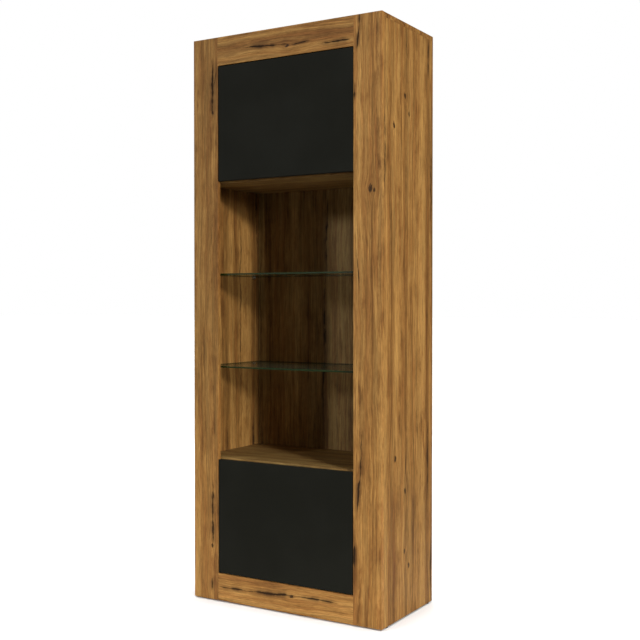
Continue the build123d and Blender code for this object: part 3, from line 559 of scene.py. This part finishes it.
def dress_fittings():
    """Materials of everything that isn't a board, by the record's slot, and of the doors."""
    made = {
        "shelf_glass": shelf_glass(),
        "beech": turned_beech(),
        "zinc": metal("zinc", (0.52, 0.52, 0.51), roughness=0.38),
        "steel": metal("steel", (0.60, 0.60, 0.61), roughness=0.30, brushed=(1.0, 0.12, 1.0)),
        "clear_pad": soft_pad(),
        "black_plastic": plastic("black_plastic", (0.018, 0.018, 0.018)),
        "grey_plastic": plastic("grey_plastic", (0.16, 0.16, 0.16)),
    }
    for part in frame["record"]["subparts"]:
        if part["material_slot"] in made:
            dress(part["node"], made[part["material_slot"]])
    for place, seed in (("lower", 0.4), ("upper", 1.1)):
        dress(f"{place}_door", black_front(f"black_{place}_front", seed))


# ---------------------------------------------------------------- studio
def floor():
    """Pale floor, wide enough to reach the horizon in every view. The camera sees it nearly white,
    and the cabinet gets less light back from it, and only from near by."""
    mesh = bpy.data.meshes.new("floor")
    corners = [(-FLOOR_HALF, -FLOOR_HALF, 0), (FLOOR_HALF, -FLOOR_HALF, 0),
               (FLOOR_HALF, FLOOR_HALF, 0), (-FLOOR_HALF, FLOOR_HALF, 0)]
    mesh.from_pydata(corners, [], [(0, 1, 2, 3)])
    plane = bpy.data.objects.new("floor", mesh)
    bpy.context.scene.collection.objects.link(plane)
    material, nodes, shader = new_material("pale_floor")
    pale = nodes.mix(nodes.noise(nodes.here(), scale=1.5), *FLOOR_SEEN)
    seen = nodes.add("ShaderNodeLightPath").outputs["Is Camera Ray"]
    away = nodes.add("ShaderNodeVectorMath", {0: nodes.here()}, operation="LENGTH").outputs["Value"]
    bounce = nodes.mix(nodes.spread(away, *BOUNCE_REACH), FLOOR_BOUNCE_NEAR, FLOOR_BOUNCE_FAR)
    finish_shader(nodes, shader, base_color=nodes.mix(seen, bounce, pale), roughness=0.8)
    shader.inputs["Specular IOR Level"].default_value = 0.0
    mesh.materials.append(material)


def surroundings():
    """White backdrop that lights the object less brightly than it looks."""
    world = bpy.data.worlds.new("studio")
    bpy.context.scene.world = world
    world.use_nodes = True
    nodes = Nodes(world.node_tree)
    background = next(n for n in world.node_tree.nodes if n.type == "BACKGROUND")
    seen = nodes.add("ShaderNodeLightPath").outputs["Is Camera Ray"]
    nodes.feed(background.inputs["Color"], WHITE)
    nodes.feed(background.inputs["Strength"], nodes.spread(seen, 0.0, 1.0, AMBIENT, 1.0, smooth=False))


def put_lamp(name, data, direction):
    lamp = bpy.data.objects.new(name, data)
    bpy.context.scene.collection.objects.link(lamp)
    lamp.rotation_euler = Vector(direction).to_track_quat("-Z", "Y").to_euler()
    return lamp


def area_light(name, place, size, power, colour=WHITE):
    """Round lamp that is aimed at the middle of the cabinet."""
    data = bpy.data.lights.new(name, "AREA")
    data.shape = "DISK"
    data.size = size
    data.energy = power
    data.color = colour
    put_lamp(name, data, Vector(CABINET_MIDDLE) - Vector(place)).location = place


def far_light(name, direction, strength, softness, colour=WHITE):
    """Light that shines along one direction everywhere. Softness is its angle in degrees."""
    data = bpy.data.lights.new(name, "SUN")
    data.energy = strength
    data.angle = math.radians(softness)
    data.color = colour
    put_lamp(name, data, direction)


def lights():
    far_light("overhead", (0.0, 0.0, -1.0), strength=3.1, softness=8.0)
    far_light("far_key", (-1.72, 1.0, -0.42), strength=1.7, softness=5.0, colour=WARM)
    far_light("far_fill", (1.6, 2.7, -0.85), strength=0.75, softness=8.0, colour=FAINTLY_WARM)
    area_light("key", (3.0, -1.75, 1.95), size=0.6, power=46.0, colour=WARM)
    area_light("rear", (-1.8, 3.4, 2.2), size=1.6, power=90.0)


def camera():
    data = bpy.data.cameras.new("camera")
    data.sensor_width = CAMERA_SENSOR
    data.lens = CAMERA_LENS
    eye = bpy.data.objects.new("camera", data)
    bpy.context.scene.collection.objects.link(eye)
    eye.location = CAMERA_PLACE
    eye.rotation_euler = (CAMERA_AIM - CAMERA_PLACE).to_track_quat("-Z", "Y").to_euler()
    bpy.context.scene.camera = eye


dress_boards()
dress_fittings()
floor()
surroundings()
lights()
camera()
bpy.context.scene.view_settings.view_transform = "Standard"
